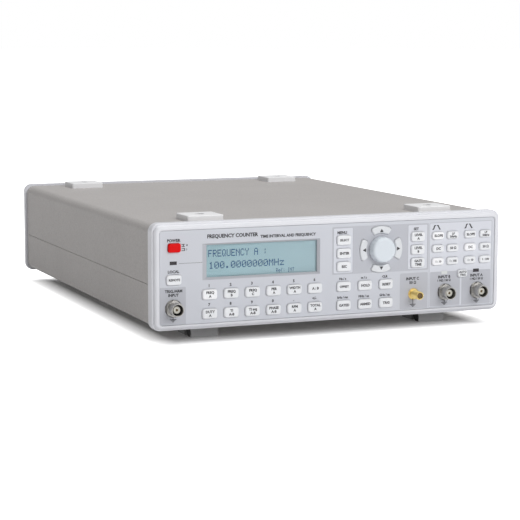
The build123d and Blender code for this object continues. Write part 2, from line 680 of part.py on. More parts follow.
def screws():
    """Case, board, pad, foot and inlet screws."""
    places = corner_places()
    pieces = [tie_screw(*place) for place in places] + [board_screw(*place) for place in places]
    board_top = MAIN_BOARD_HEIGHT + BOARD_THICKNESS
    for x, depth in BOARD_SCREWS:
        shank = upright(x, depth, board_top - 7, board_top, 1.5)
        pieces.append(shank + upright(x, depth, board_top, board_top + 2, 2.8))
    case_top = MIDDLE + CASE_HEIGHT / 2
    case_bottom = MIDDLE - CASE_HEIGHT / 2
    for side in (-1, 1):
        for depth in PAD_DEPTHS:
            shank = upright(side * PAD_X, depth, case_top - 4, case_top + 2, 1.5)
            pieces.append(shank + upright(side * PAD_X, depth, case_top + 2, case_top + 4, 2.8))
        for front in FOOT_FRONTS:
            seat = POCKET_ROOF + 2
            shank = upright(side * PAD_X, front + FOOT_SCREW, seat, case_bottom + 4, 1.5)
            head = upright(side * PAD_X, front + FOOT_SCREW, seat - FOOT_SCREW_HEAD, seat, 2.8)
            pieces.append(shank + head)
        x = INLET_PLACE[0] + side * INLET_SCREW_SPACING / 2
        shank = prism(disc(x, INLET_PLACE[1], 1.5), REAR_FACE - 7, REAR_FACE + 3)
        head = prism(disc(x, INLET_PLACE[1], 2.8), REAR_FACE + 3, REAR_FACE + 4.8)
        pieces.append(shank + round_back(head, 0.5))
    return Compound(children=pieces)


def assembly():
    parts = {
        "front_bezel": front_bezel(),
        "front_panel": front_panel(),
        "display_window": display_window(),
        "front_board": front_board(),
        "top_cover": top_cover(),
        "bottom_cover": bottom_cover(),
        "rear_bezel": rear_bezel(),
        "rear_panel": rear_panel(),
        "main_board": main_board(),
        "mains_inlet": mains_inlet(),
        "coax_sockets": coax_sockets(),
        "stacking_pads": stacking_pads(),
        "bottom_feet": bottom_feet(),
        "screws": screws(),
        "power_button": power_button(),
        "control_knob": control_knob(),
        "left_tilt_leg": tilt_leg(-PAD_X),
        "right_tilt_leg": tilt_leg(PAD_X),
    }
    for name, (x, height, size) in KEYS.items():
        parts[name] = rectangular_key(x, height, size)
    for name, angle in ARROW_ANGLES.items():
        parts[f"arrow_{name}_key"] = arrow_key(angle)
    return parts


def save(parts):
    os.makedirs("parts", exist_ok=True)
    for name, shape in parts.items():
        export_step(shape, f"parts/{name}.step")


save(assembly())
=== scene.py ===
import math

import bmesh
import bpy
from mathutils import Matrix, Vector


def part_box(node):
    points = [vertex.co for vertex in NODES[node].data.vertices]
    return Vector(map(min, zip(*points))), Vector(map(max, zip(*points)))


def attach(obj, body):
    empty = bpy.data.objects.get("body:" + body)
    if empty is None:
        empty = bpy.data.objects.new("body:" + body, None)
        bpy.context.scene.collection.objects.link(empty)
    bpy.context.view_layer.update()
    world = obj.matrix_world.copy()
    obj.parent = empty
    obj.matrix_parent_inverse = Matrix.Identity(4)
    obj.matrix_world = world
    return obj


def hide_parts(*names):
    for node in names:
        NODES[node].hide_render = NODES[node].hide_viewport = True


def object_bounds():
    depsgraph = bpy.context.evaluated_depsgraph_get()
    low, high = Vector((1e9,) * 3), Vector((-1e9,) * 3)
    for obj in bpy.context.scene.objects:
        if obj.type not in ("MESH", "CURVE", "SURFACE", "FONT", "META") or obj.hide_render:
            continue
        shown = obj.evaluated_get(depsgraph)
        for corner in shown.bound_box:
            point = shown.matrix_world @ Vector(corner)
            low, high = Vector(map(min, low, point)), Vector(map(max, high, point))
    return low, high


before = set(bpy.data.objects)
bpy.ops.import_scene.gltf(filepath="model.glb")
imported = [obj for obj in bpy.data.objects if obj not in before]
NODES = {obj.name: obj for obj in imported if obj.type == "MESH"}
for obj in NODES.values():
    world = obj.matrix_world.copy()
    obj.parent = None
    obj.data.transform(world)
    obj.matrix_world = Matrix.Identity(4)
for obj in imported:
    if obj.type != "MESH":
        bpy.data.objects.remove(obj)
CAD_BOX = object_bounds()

# A bench frequency counter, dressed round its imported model. Everything is in metres in the
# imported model's frame: the front panel faces -Y. Places on the panel are given in millimetres,
# across from the middle and up from the underside of the front bezel.

MM = 0.001
BODY = "counter"
PANEL_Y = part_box("front_panel")[0].y
REAR_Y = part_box("rear_panel")[1].y
BASE_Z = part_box("front_bezel")[0].z
INK_LIFT = 0.04 * MM
INK_DEPTH = 0.015 * MM
# Half width of the soft edge of a printed field, and of a printed line
FIELD_BLUR = 0.05 * MM
LINE_BLUR = 0.04 * MM


def on_panel(x, height, lift=0.0):
    """A point on the front panel's face, lift millimetres in front of it."""
    return Vector((x * MM, PANEL_Y - lift * MM, BASE_Z + height * MM))


def key_centre(node):
    low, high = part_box(node)
    return Vector(((low.x + high.x) / 2, low.y, (low.z + high.z) / 2))


# ---------------------------------------------------------------- materials

class Shader:
    """A Principled material under construction, with short names for its usual nodes."""

    def __init__(self, name, roughness=0.5, metallic=0.0):
        self.material = bpy.data.materials.new(name)
        self.material.use_nodes = True
        self.tree = self.material.node_tree
        self.principled = self.tree.nodes["Principled BSDF"]
        self.set("Roughness", roughness)
        self.set("Metallic", metallic)
        self.coordinates = self.node("ShaderNodeTexCoord").outputs["Object"]

    def node(self, kind, **settings):
        made = self.tree.nodes.new(kind)
        for key, value in settings.items():
            setattr(made, key, value)
        return made

    def link(self, output, target):
        self.tree.links.new(output, target)

    def set(self, socket, value):
        self.principled.inputs[socket].default_value = value

    def noise(self, size, detail=3.0):
        """Noise whose features are about size metres across."""
        noise = self.node("ShaderNodeTexNoise")
        noise.inputs["Scale"].default_value = 1.0 / size
        noise.inputs["Detail"].default_value = detail
        self.link(self.coordinates, noise.inputs["Vector"])
        return noise.outputs["Fac"]

    def ranged(self, value, low, high, start=0.3, end=0.7):
        span = self.node("ShaderNodeMapRange")
        span.inputs["From Min"].default_value = start
        span.inputs["From Max"].default_value = end
        span.inputs["To Min"].default_value = low
        span.inputs["To Max"].default_value = high
        self.link(value, span.inputs["Value"])
        return span.outputs["Result"]

    def mixed(self, factor, first, second):
        """Colour between two colours or colour outputs."""
        mix = self.node("ShaderNodeMix", data_type="RGBA")
        self.link(factor, mix.inputs[0])
        for socket, colour in ((mix.inputs[6], first), (mix.inputs[7], second)):
            if isinstance(colour, tuple):
                socket.default_value = (*colour, 1.0)
            else:
                self.link(colour, socket)
        return mix.outputs[2]

    def math(self, operation, first, second=None):
        made = self.node("ShaderNodeMath", operation=operation)
        for socket, value in zip(made.inputs, (first, second)):
            if value is None:
                continue
            if isinstance(value, (int, float)):
                socket.default_value = value
            else:
                self.link(value, socket)
        return made.outputs[0]

    def mottled(self, colour, spread, size):
        """The colour, a little lighter and darker in patches."""
        light = tuple(min(c * (1 + spread), 1.0) for c in colour)
        dark = tuple(c * (1 - spread) for c in colour)
        return self.mixed(self.ranged(self.noise(size), 0.0, 1.0), dark, light)

    def colour(self, output):
        self.link(output, self.principled.inputs["Base Color"])

    def rough(self, size, low, high):
        self.link(self.ranged(self.noise(size), low, high), self.principled.inputs["Roughness"])

    def bump(self, height, strength, distance):
        bump = self.node("ShaderNodeBump")
        bump.inputs["Strength"].default_value = strength
        bump.inputs["Distance"].default_value = distance
        self.link(height, bump.inputs["Height"])
        self.link(bump.outputs["Normal"], self.principled.inputs["Normal"])


def plastic(name, colour, roughness, grain=0.35 * MM, relief=0.12, spread=0.02, gloss=0.5):
    """Moulded plastic: faint patches of colour, uneven gloss and a fine moulded grain."""
    shader = Shader(name)
    shader.colour(shader.mottled(colour, spread, 30 * MM))
    shader.rough(6 * MM, roughness - 0.05, roughness + 0.05)
    shader.set("Specular IOR Level", gloss)
    shader.bump(shader.noise(grain, 2.0), relief, 0.02 * MM)
    return shader.material


def paint(name, colour):
    """Powder paint on steel: a fine orange-peel texture, darkened in its hollows as painted shade."""
    shader = Shader(name)
    peel = shader.noise(0.9 * MM, 2.0)
    base = shader.mottled(colour, 0.025, 60 * MM)
    # Painted shade: the colour is darker where the orange-peel bump is low
    pit_shade = shader.ranged(peel, 0.88, 1.03, 0.35, 0.6)
    pit_shaded_colour = shader.node("ShaderNodeVectorMath", operation="SCALE")
    shader.link(base, pit_shaded_colour.inputs[0])
    shader.link(pit_shade, pit_shaded_colour.inputs["Scale"])
    shader.colour(pit_shaded_colour.outputs[0])
    shader.rough(3 * MM, 0.5, 0.62)
    shader.bump(peel, 0.35, 0.05 * MM)
    return shader.material


def metal(name, colour, roughness, spread=0.06, relief=0.1):
    """Plated or turned metal, with uneven gloss and a fine grain."""
    shader = Shader(name, metallic=1.0)
    shader.colour(shader.mottled(colour, spread, 3 * MM))
    shader.link(shader.ranged(shader.noise(0.4 * MM, 4.0), roughness - 0.07, roughness + 0.1),
                shader.principled.inputs["Roughness"])
    shader.bump(shader.noise(0.25 * MM, 3.0), relief, 0.02 * MM)
    return shader.material


def ink(name, colour):
    """Screen-printed ink: slightly uneven cover."""
    shader = Shader(name)
    shader.colour(shader.mottled(colour, 0.12, 0.6 * MM))
    shader.rough(0.8 * MM, 0.45, 0.6)
    return shader.material


def rounded_box(shader, centre, half, radius, axes="XZ"):
    """Signed distance in a plane from a rounded rectangle's edge, in metres."""
    separate = shader.node("ShaderNodeSeparateXYZ")
    shader.link(shader.coordinates, separate.inputs[0])
    sides = []
    for axis, middle, reach in zip(axes, centre, half):
        offset = shader.math("ABSOLUTE", shader.math("SUBTRACT", separate.outputs[axis], middle))
        sides.append(shader.math("SUBTRACT", offset, reach - radius))
    outside = [shader.math("MAXIMUM", side, 0.0) for side in sides]
    squares = [shader.math("MULTIPLY", value, value) for value in outside]
    corner = shader.math("SQRT", shader.math("ADD", *squares))
    inside = shader.math("MINIMUM", shader.math("MAXIMUM", *sides), 0.0)
    return shader.math("SUBTRACT", shader.math("ADD", corner, inside), radius)


def zone_mask(shader, zone, radius=1.0 * MM):
    """1 inside the zone and 0 outside it, and the distance from its edge."""
    x_0, x_1, low, high = (value * MM for value in zone)
    centre = ((x_0 + x_1) / 2, BASE_Z + (low + high) / 2)
    distance = rounded_box(shader, centre, ((x_1 - x_0) / 2, (high - low) / 2), radius)
    return shader.ranged(distance, 1.0, 0.0, -FIELD_BLUR, FIELD_BLUR), distance


def outline_mask(shader, distance, half_width):
    """1 on a line along the zone's edge and 0 away from it."""
    away = shader.math("ABSOLUTE", distance)
    return shader.ranged(away, 1.0, 0.0, half_width - LINE_BLUR, half_width + LINE_BLUR)


PANEL_LIGHT = (0.60, 0.615, 0.665)
PANEL_PALE = (0.665, 0.68, 0.735)
PANEL_GREY = (0.50, 0.51, 0.555)
PANEL_DARK = (0.49, 0.50, 0.545)
# Painted shade laid on the bevels of the display's mouth
BEVEL_SHADE_COLOUR = (0.46, 0.47, 0.51)
PANEL_LINE = (0.40, 0.41, 0.45)

# Printed fields of the panel, in the order they are laid: x from, x to, height from, height to.
PANEL_FIELDS = (
    ((-138.0, -117.2, 0.0, 31.9), PANEL_DARK, False),
    ((-1.4, 79.8, 34.4, 70.3), PANEL_GREY, False),
    ((-0.2, 15.8, 35.3, 69.4), PANEL_PALE, True),
    ((62.0, 78.6, 35.3, 69.4), PANEL_PALE, True),
    ((55.6, 79.4, 5.0, 32.6), PANEL_GREY, False),
    ((80.6, 134.8, 5.1, 70.1), PANEL_PALE, True),
    ((81.2, 134.2, 5.7, 32.4), PANEL_GREY, False),
    ((107.4, 108.8, 5.1, 69.5), PANEL_PALE, False),
)

# The display's bevelled mouth, in the same order. A darker colour is laid on it as painted shade on its
# bevels.
DISPLAY_MOUTH = (-104.4, -11.2, 35.85, 62.45)


def panel_film():
    """Printed film of the front panel, with its grey and pale fields and their outlines, and painted shade
    on the bevels of the display's mouth.
    """
    shader = Shader("panel_film")
    colour = shader.mottled(PANEL_LIGHT, 0.012, 40 * MM)
    for zone, fill, outlined in PANEL_FIELDS:
        mask, distance = zone_mask(shader, zone)
        colour = shader.mixed(mask, colour, fill)
        if outlined:
            colour = shader.mixed(outline_mask(shader, distance, 0.16 * MM), colour, PANEL_LINE)
    # Painted shade on the bevels of the display's mouth
    mouth, _ = zone_mask(shader, DISPLAY_MOUTH, 0.1 * MM)
    colour = shader.mixed(mouth, colour, BEVEL_SHADE_COLOUR)
    shader.colour(colour)
    shader.rough(5 * MM, 0.40, 0.50)
    shader.bump(shader.noise(0.25 * MM, 2.0), 0.08, 0.02 * MM)
    return shader.material


def display_glass():
    """Clear window: nearly all light passes, and the face gives a soft reflection."""
    shader = Shader("display_glass", roughness=0.05)
    shader.set("Base Color", (0.93, 0.97, 0.98, 1.0))
    shader.set("Transmission Weight", 1.0)
    shader.set("IOR", 1.2)
    shader.link(shader.ranged(shader.noise(20 * MM), 0.02, 0.07), shader.principled.inputs["Roughness"])
    return shader.material


def lcd_field():
    """The lit liquid crystal: teal grey, brighter towards the lamp at its right end."""
    shader = Shader("lcd_field", roughness=0.35)
    separate = shader.node("ShaderNodeSeparateXYZ")
    shader.link(shader.coordinates, separate.inputs[0])
    low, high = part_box("display_window")
    along = shader.ranged(separate.outputs["X"], 0.0, 1.0, low.x, high.x)
    colour = shader.mixed(along, (0.34, 0.48, 0.52), (0.38, 0.49, 0.53))
    grain = shader.ranged(shader.noise(0.5 * MM), 0.0, 1.0)
    speckle = shader.mixed(grain, (0.97, 0.97, 0.97), (1.0, 1.0, 1.0))
    product = shader.node("ShaderNodeMix", data_type="RGBA", blend_type="MULTIPLY")
    product.inputs[0].default_value = 1.0
    shader.link(colour, product.inputs[6])
    shader.link(speckle, product.inputs[7])
    shader.colour(product.outputs[2])
    shader.link(product.outputs[2], shader.principled.inputs["Emission Color"])
    shader.set("Emission Strength", 0.25)
    return shader.material


def circuit_board(name, shells_from=None):
    """Green solder mask over lighter copper tracks. Connector shells are plated behind y = shells_from."""
    shader = Shader(name, roughness=0.35)
    tracks = shader.node("ShaderNodeTexVoronoi", feature="DISTANCE_TO_EDGE")
    tracks.inputs["Scale"].default_value = 260
    shader.link(shader.coordinates, tracks.inputs["Vector"])
    mask = shader.ranged(tracks.outputs["Distance"], 1.0, 0.0, 0.04, 0.08)
    colour = shader.mixed(mask, (0.012, 0.09, 0.035), (0.03, 0.19, 0.08))
    if shells_from is not None:
        separate = shader.node("ShaderNodeSeparateXYZ")
        shader.link(shader.coordinates, separate.inputs[0])
        shell = shader.ranged(separate.outputs["Y"], 0.0, 1.0, shells_from, shells_from + 0.1 * MM)
        colour = shader.mixed(shell, colour, shader.mottled((0.55, 0.56, 0.57), 0.05, 2 * MM))
        shader.link(shell, shader.principled.inputs["Metallic"])
    shader.colour(colour)
    shader.bump(mask, 0.2, 0.05 * MM)
    return shader.material


MATERIALS = {
    "bezel": plastic("bezel_moulding", (0.74, 0.745, 0.785), 0.42),
    "panel": panel_film(),
    "key": plastic("key_moulding", (0.82, 0.83, 0.855), 0.38, relief=0.06),
    "key_lit": plastic("key_moulding_lit", (0.93, 0.93, 0.95), 0.36, relief=0.06),
    "arrow": plastic("arrow_key_moulding", (0.72, 0.735, 0.76), 0.42, relief=0.3, grain=0.5 * MM),
    "knob": plastic("knob_moulding", (0.70, 0.75, 0.80), 0.36, relief=0.05),
    "red": plastic("power_button_moulding", (0.74, 0.004, 0.005), 0.4, relief=0.04, spread=0.05,
                   gloss=0.12),
    "pad": plastic("pad_moulding", (0.86, 0.86, 0.87), 0.5, relief=0.2),
    # The feet are the pads' light plastic; this dark grey is painted shade, as they stand in the shade
    # under the case.
    "foot": plastic("foot_moulding_painted_shade", (0.42, 0.42, 0.425), 0.55, relief=0.2),
    "black": plastic("black_moulding", (0.018, 0.018, 0.019), 0.45, relief=0.2, spread=0.1),
    "case": paint("case_paint", (0.465, 0.445, 0.435)),
    "rear": paint("rear_sheet_paint", (0.50, 0.49, 0.48)),
    "nickel": metal("nickel_plate", (0.52, 0.51, 0.49), 0.38),
    "gold": metal("gold_plate", (0.95, 0.74, 0.30), 0.42),
    # Dark gold metal for the socket contacts
    "contact": metal("dark_gold_contact", (0.30, 0.22, 0.13), 0.4),
    "steel": metal("zinc_plate", (0.60, 0.60, 0.61), 0.35),
    "insulator": plastic("cream_insulator", (0.60, 0.585, 0.52), 0.45, relief=0.05),
    # Dark brown colour for the threaded socket's insulator
    "ptfe": plastic("dark_brown_insulator", (0.16, 0.10, 0.035), 0.4, relief=0.05),
    "lamp": plastic("dark_lamp_lens", (0.025, 0.02, 0.025), 0.2, relief=0.02, spread=0.1),
    "lamp_pale": plastic("pale_lamp_lens", (0.72, 0.74, 0.74), 0.25, relief=0.02, spread=0.04),
    "glass": display_glass(),
    "lcd": lcd_field(),
    "board": circuit_board("circuit_board"),
    "main_board": circuit_board("main_circuit_board", REAR_Y - 14 * MM),
    "ink": ink("black_ink", (0.035, 0.035, 0.04)),
    "ink_lcd": ink("lcd_dots", (0.02, 0.09, 0.24)),
}


def dress(obj, material):
    """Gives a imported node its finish."""
    obj.data.materials.clear()
    obj.data.materials.append(MATERIALS[material])


# ---------------------------------------------------------------- building pieces

def add_piece(name, mesh, material, body=BODY, smooth=None):
    """A mesh as a piece that rides on a body. smooth is the sharpest smoothed angle in degrees."""
    obj = bpy.data.objects.new(name, mesh)
    bpy.context.scene.collection.objects.link(obj)
    obj.data.materials.clear()
    obj.data.materials.append(MATERIALS[material])
    if smooth is not None:
        smooth_by_angle(mesh, math.radians(smooth))
    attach(obj, body)
    return obj


def smooth_by_angle(mesh, angle):
    made = bmesh.new()
    made.from_mesh(mesh)
    for face in made.faces:
        face.smooth = True
    for edge in made.edges:
        if len(edge.link_faces) == 2 and edge.calc_face_angle(0) > angle:
            edge.smooth = False
    made.to_mesh(mesh)
    made.free()


def mesh_from(made, name):
    mesh = bpy.data.meshes.new(name)
    bmesh.ops.recalc_face_normals(made, faces=made.faces)
    made.to_mesh(mesh)
    made.free()
    return mesh


def turned(profile, segments=64, flute=None):
    """A closed solid of revolution about the Y axis. The profile is (radius, y) pairs from the
    first to the last point on the axis, in millimetres. flute(angle, radius, y) may change a radius."""
    made = bmesh.new()
    rings = []
    for radius, y in profile:
        if radius < 1e-6:
            rings.append([made.verts.new((0, y * MM, 0))])
            continue
        ring = []
        for i in range(segments):
            angle = 2 * math.pi * i / segments
            r = flute(angle, radius, y) if flute else radius
            ring.append(made.verts.new((r * MM * math.cos(angle), y * MM, r * MM * math.sin(angle))))
        rings.append(ring)
    for first, second in zip(rings, rings[1:]):
        for i in range(segments):
            j = (i + 1) % segments
            corners = [first[i % len(first)], first[j % len(first)]]
            corners += [second[j % len(second)], second[i % len(second)]]
            unique = list(dict.fromkeys(corners))
            if len(unique) > 2:
                made.faces.new(unique)
    return made


def merged(parts):
    """One bmesh from several (bmesh, matrix) pairs."""
    whole = bmesh.new()
    for part, matrix in parts:
        part.transform(matrix)
        scratch = bpy.data.meshes.new("scratch")
        part.to_mesh(scratch)
        part.free()
        whole.from_mesh(scratch)
        bpy.data.meshes.remove(scratch)
    return whole


def bar(size, bevel=0.0):
    """A box with bevelled edges about the origin; size in millimetres."""
    made = bmesh.new()
    bmesh.ops.create_cube(made, size=1.0)
    made.transform(Matrix.Diagonal((size[0] * MM, size[1] * MM, size[2] * MM, 1.0)))
    if bevel:
        bmesh.ops.bevel(made, geom=made.edges[:], offset=bevel * MM, segments=2, affect="EDGES",
                        profile=0.5)
    return made


def hexagon(across, thickness, chamfer):
    """A nut about the Y axis, from y = -thickness to 0, with chamfered corners."""
    made = bmesh.new()
    radius = across / math.sqrt(3) * MM
    bmesh.ops.create_cone(made, cap_ends=True, segments=6, radius1=radius, radius2=radius,
                          depth=thickness * MM)
    bmesh.ops.bevel(made, geom=made.edges[:], offset=chamfer * MM, segments=2, affect="EDGES")
    place = Matrix.Translation((0, -thickness * MM / 2, 0))
    made.transform(place @ Matrix.Rotation(math.pi / 2, 4, "X"))
    return made


# ---------------------------------------------------------------- lettering

CAPITAL_HEIGHT = 0.73
BOLD_OFFSET = 0.06


def text_mesh(words, height, bold=False):
    """Flat letters with the given capital height in millimetres, as a mesh in the XY plane."""
    curve = bpy.data.curves.new("words", "FONT")
    curve.body = words
    curve.size = height * MM / CAPITAL_HEIGHT
    curve.align_x = "CENTER"
    curve.align_y = "CENTER"
    curve.extrude = INK_DEPTH / 2
    curve.resolution_u = 2
    if bold:
        curve.offset = BOLD_OFFSET * height * MM
    holder = bpy.data.objects.new("words", curve)
    bpy.context.scene.collection.objects.link(holder)
    bpy.context.view_layer.update()
    depsgraph = bpy.context.evaluated_depsgraph_get()
    mesh = bpy.data.meshes.new_from_object(holder.evaluated_get(depsgraph))
    bpy.data.objects.remove(holder)
    bpy.data.curves.remove(curve)
    return mesh


FACE_FRONT = Matrix.Rotation(math.pi / 2, 4, "X")
FACE_REAR = Matrix.Rotation(math.pi, 4, "Z") @ FACE_FRONT


def letters(entries, y, facing=FACE_FRONT):
    """One bmesh of many words. An entry is (words, x, z, height, bold) with x and z in metres."""
    whole = bmesh.new()
    for words, x, z, height, bold in entries:
        mesh = text_mesh(words, height, bold)
        mesh.transform(Matrix.Translation((x, y, z)) @ facing)
        whole.from_mesh(mesh)
        bpy.data.meshes.remove(mesh)
    return whole


def stroke(made, start, end, width, y):
    """A straight printed line in the XZ plane, as a thin closed bar; points in metres."""
    along = Vector((end[0] - start[0], 0, end[1] - start[1]))
    side = Vector((-along.z, 0, along.x)).normalized() * width * MM / 2
    corners = []
    for depth in (-INK_DEPTH / 2, INK_DEPTH / 2):
        for x, z, sign in ((*start, 1), (*start, -1), (*end, -1), (*end, 1)):
            corners.append(made.verts.new(Vector((x, y + depth, z)) + side * sign))
    for face in ((0, 1, 2, 3), (7, 6, 5, 4), (0, 4, 5, 1), (1, 5, 6, 2), (2, 6, 7, 3), (3, 7, 4, 0)):
        made.faces.new([corners[i] for i in face])


KEY_LEGENDS = {
    "remote_key": "REMOTE",
    "function_key_1": "FREQ\nA", "function_key_2": "FREQ\nB", "function_key_3": "FREQ\nC",
    "function_key_4": "PER\nA", "function_key_5": "WIDTH\nA", "function_key_6": "A : B",
    "function_key_7": "DUTY\nA", "function_key_8": "TI\nA-B", "function_key_9": "TI avg\nA-B",
    "function_key_10": "PHASE\nA-B", "function_key_11": "RPM\nA", "function_key_12": "TOTAL\nA",
    "offset_key": "OFFSET", "hold_key": "HOLD", "reset_key": "RESET",
    "gated_key": "GATED", "armed_key": "ARMED", "trigger_key": "TRIG",
    "menu_select_key": "SELECT", "menu_enter_key": "ENTER", "menu_escape_key": "ESC",
    "level_a_key": "LEVEL\nA", "level_b_key": "LEVEL\nB", "gate_time_key": "GATE\nTIME",
    "auto_trigger_key": "AUTO\nTRIG",
}
CHANNEL_LEGENDS = ("SLOPE", "LP\n50kHz", "DC", "50 Ω", "1 : 10", "1 : 100")
for channel in "ab":
    for number, words in enumerate(CHANNEL_LEGENDS):
        KEY_LEGENDS[f"channel_{channel}_key_{number + 1}"] = words
LIT_KEYS = ("function_key_1", "channel_b_key_1", "channel_b_key_5", "channel_a_key_3")
# Letter height and line pitch on the keys, then the same for two lines on a small key. A single
# line of more than LONG_WORD letters takes the small height too.
LEGEND_HEIGHT = 1.9
LINE_PITCH = 2.75
SMALL_HEIGHT = 1.65
SMALL_PITCH = 2.25
LONG_WORD = 5


def key_legends():
    """The words printed on each key, riding on the key."""
    for node, legend in KEY_LEGENDS.items():
        centre = key_centre(node)
        lines = legend.split("\n")
        small = len(lines) > 1 and (node.startswith("channel") or node == "auto_trigger_key")
        height, pitch = (SMALL_HEIGHT, SMALL_PITCH) if small else (LEGEND_HEIGHT, LINE_PITCH)
        if len(legend) > LONG_WORD and len(lines) == 1:
            height = SMALL_HEIGHT
        entries = []
        for i, words in enumerate(lines):
            rise = ((len(lines) - 1) / 2 - i) * pitch * MM
            entries.append((words, centre.x, centre.z + rise, height, True))
        made = letters(entries, centre.y - INK_LIFT)
        mesh = mesh_from(made, f"legend_{node}")
        add_piece(f"legend_{node}", mesh, "ink", body=node)


# Distance of each arrow mark from the knob's axis, and from its own middle to its corners
ARROW_MARK_RADIUS = 13.9
ARROW_MARK_SIZE = 1.75


def arrow_marks():
    """A small black triangle printed on each arrow key."""
    low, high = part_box("control_knob")
    centre = Vector(((low.x + high.x) / 2, 0, (low.z + high.z) / 2))
    radius, size = ARROW_MARK_RADIUS * MM, ARROW_MARK_SIZE * MM
    for name, angle in (("right", 0), ("up", 90), ("left", 180), ("down", 270)):
        node = f"arrow_{name}_key"
        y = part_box(node)[0].y - INK_LIFT
        turn = math.radians(angle)
        middle = centre + Vector((math.cos(turn), 0, math.sin(turn))) * radius
        made = bmesh.new()
        layers = []
        for depth in (-INK_DEPTH / 2, INK_DEPTH / 2):
            corners = []
            for i in range(3):
                a = turn + i * 2 * math.pi / 3
                x, z = middle.x + size * math.cos(a), middle.z + size * math.sin(a)
                corners.append(made.verts.new((x, y + depth, z)))
            layers.append(corners)
        made.faces.new(layers[0])
        made.faces.new(layers[1][::-1])
        for i in range(3):
            j = (i + 1) % 3
            made.faces.new((layers[0][i], layers[1][i], layers[1][j], layers[0][j]))
        add_piece(f"mark_{node}", mesh_from(made, f"mark_{node}"), "ink", body=node)


def panel_words():
    """(words, x, height on the panel, letter height, bold) for the whole front panel."""
    words = [
        ("POWER", -126.4, 65.55, 2.1, True),
        ("LOCAL", -126.6, 43.0, 2.0, True),
        ("TRIG./ARM", -126.5, 28.9, 2.05, True), ("INPUT", -126.7, 26.0, 2.05, True),
        ("0", -116.2, 61.9, 1.4, True), ("1", -116.4, 58.8, 1.4, True),
        ("FREQUENCY COUNTER", -81.0, 67.4, 2.7, True),
        ("TIME INTERVAL AND FREQUENCY", -37.0, 65.7, 2.1, True),
        ("MENU", 6.8, 65.8, 2.1, True), ("SET", 68.9, 66.1, 2.0, True),
        ("INPUT C", 66.3, 28.1, 2.1, True), ("50 Ω", 66.5, 25.1, 2.1, True),
        ("INPUT B", 93.6, 28.1, 2.1, True), ("1 MΩ / 50 Ω", 93.4, 25.4, 1.65, True),
        ("INPUT A", 121.8, 28.0, 2.1, True), ("1 MΩ / 50 Ω", 121.8, 25.3, 1.65, True),
    ]
    digits = (("1", "2", "3", "4", "5", "6"), ("7", "8", "9", "0", ".", "+/-"))
    for row, height in ((0, 31.6), (1, 17.65)):
        for i, digit in enumerate(digits[row]):
            centre = key_centre(f"function_key_{row * 6 + i + 1}")
            words.append((digit, centre.x / MM - 0.2, height, 2.1, True))
    units = (("offset", "Hz / s"), ("hold", "m / s"), ("reset", "CLR"),
             ("gated", "kHz / ms"), ("armed", "MHz / us"), ("trigger", "GHz / ns"))
    for i, (name, unit) in enumerate(units):
        centre = key_centre(f"{name}_key")
        words.append((unit, centre.x / MM - 0.6, 31.05 if i < 3 else 17.0, 1.75, True))
    return words


def panel_lettering():
    """All the words printed on the front panel, as one piece."""
    y = PANEL_Y - INK_LIFT
    entries = [(w, x * MM, BASE_Z + h * MM, size, bold) for w, x, h, size, bold in panel_words()]
    mesh = mesh_from(letters(entries, y), "panel_lettering")
    add_piece("panel_lettering", mesh, "ink")


# Strokes of a pair of slope signs: across and height of both ends, and width
SLOPE_SIGNS = (
    (-0.9, 65.2, 0.1, 65.2, 0.7), (0.0, 65.1, 1.1, 68.2, 1.0), (1.0, 68.1, 2.1, 68.1, 0.7),
    (2.9, 68.1, 3.9, 68.1, 0.7), (3.8, 68.2, 5.4, 65.1, 1.0), (5.2, 65.2, 6.2, 65.2, 0.7),
)
SLOPE_SIGN_PLACES = (83.7, 111.5)
# Across and height of the top of each earth sign, and the half lengths of its bars
EARTH_SIGNS = ((-127.0, 10.3), (66.8, 13.2), (94.0, 10.3), (122.1, 10.3))
EARTH_BARS = (2.5, 1.6, 0.7)
EARTH_HEIGHT = 8.4
# Lower and upper height of the button signs, and how far the closing line is set back
BUTTON_SIGNS = ((58.1, 59.6, 0.0), (61.1, 62.7, 0.9))


def panel_marks():
    """Printed lines: lamp line, slope signs, earth signs and the power button's in and out signs."""
    made = bmesh.new()
    y = PANEL_Y - INK_LIFT

    def line(x_0, h_0, x_1, h_1, width):
        stroke(made, (x_0 * MM, BASE_Z + h_0 * MM), (x_1 * MM, BASE_Z + h_1 * MM), width, y)

    line(-122.5, 48.9, -104.4, 48.9, 0.22)
    for x in SLOPE_SIGN_PLACES:
        for x_0, h_0, x_1, h_1, width in SLOPE_SIGNS:
            line(x + x_0, h_0, x + x_1, h_1, width)
    for x, stem in EARTH_SIGNS:
        line(x, stem, x, EARTH_HEIGHT, 0.5)
        for i, half in enumerate(EARTH_BARS):
            height = EARTH_HEIGHT - 0.8 * i
            line(x - half, height, x + half, height, 0.5)
    for low, high, inset in BUTTON_SIGNS:
        line(-120.4, low, -117.9, low, 0.45)
        line(-120.4, high, -117.9, high, 0.45)
        line(-118.0 - inset, low - 0.2, -118.0 - inset, high + 0.2, 0.6)
    add_piece("panel_marks", mesh_from(made, "panel_marks"), "ink")


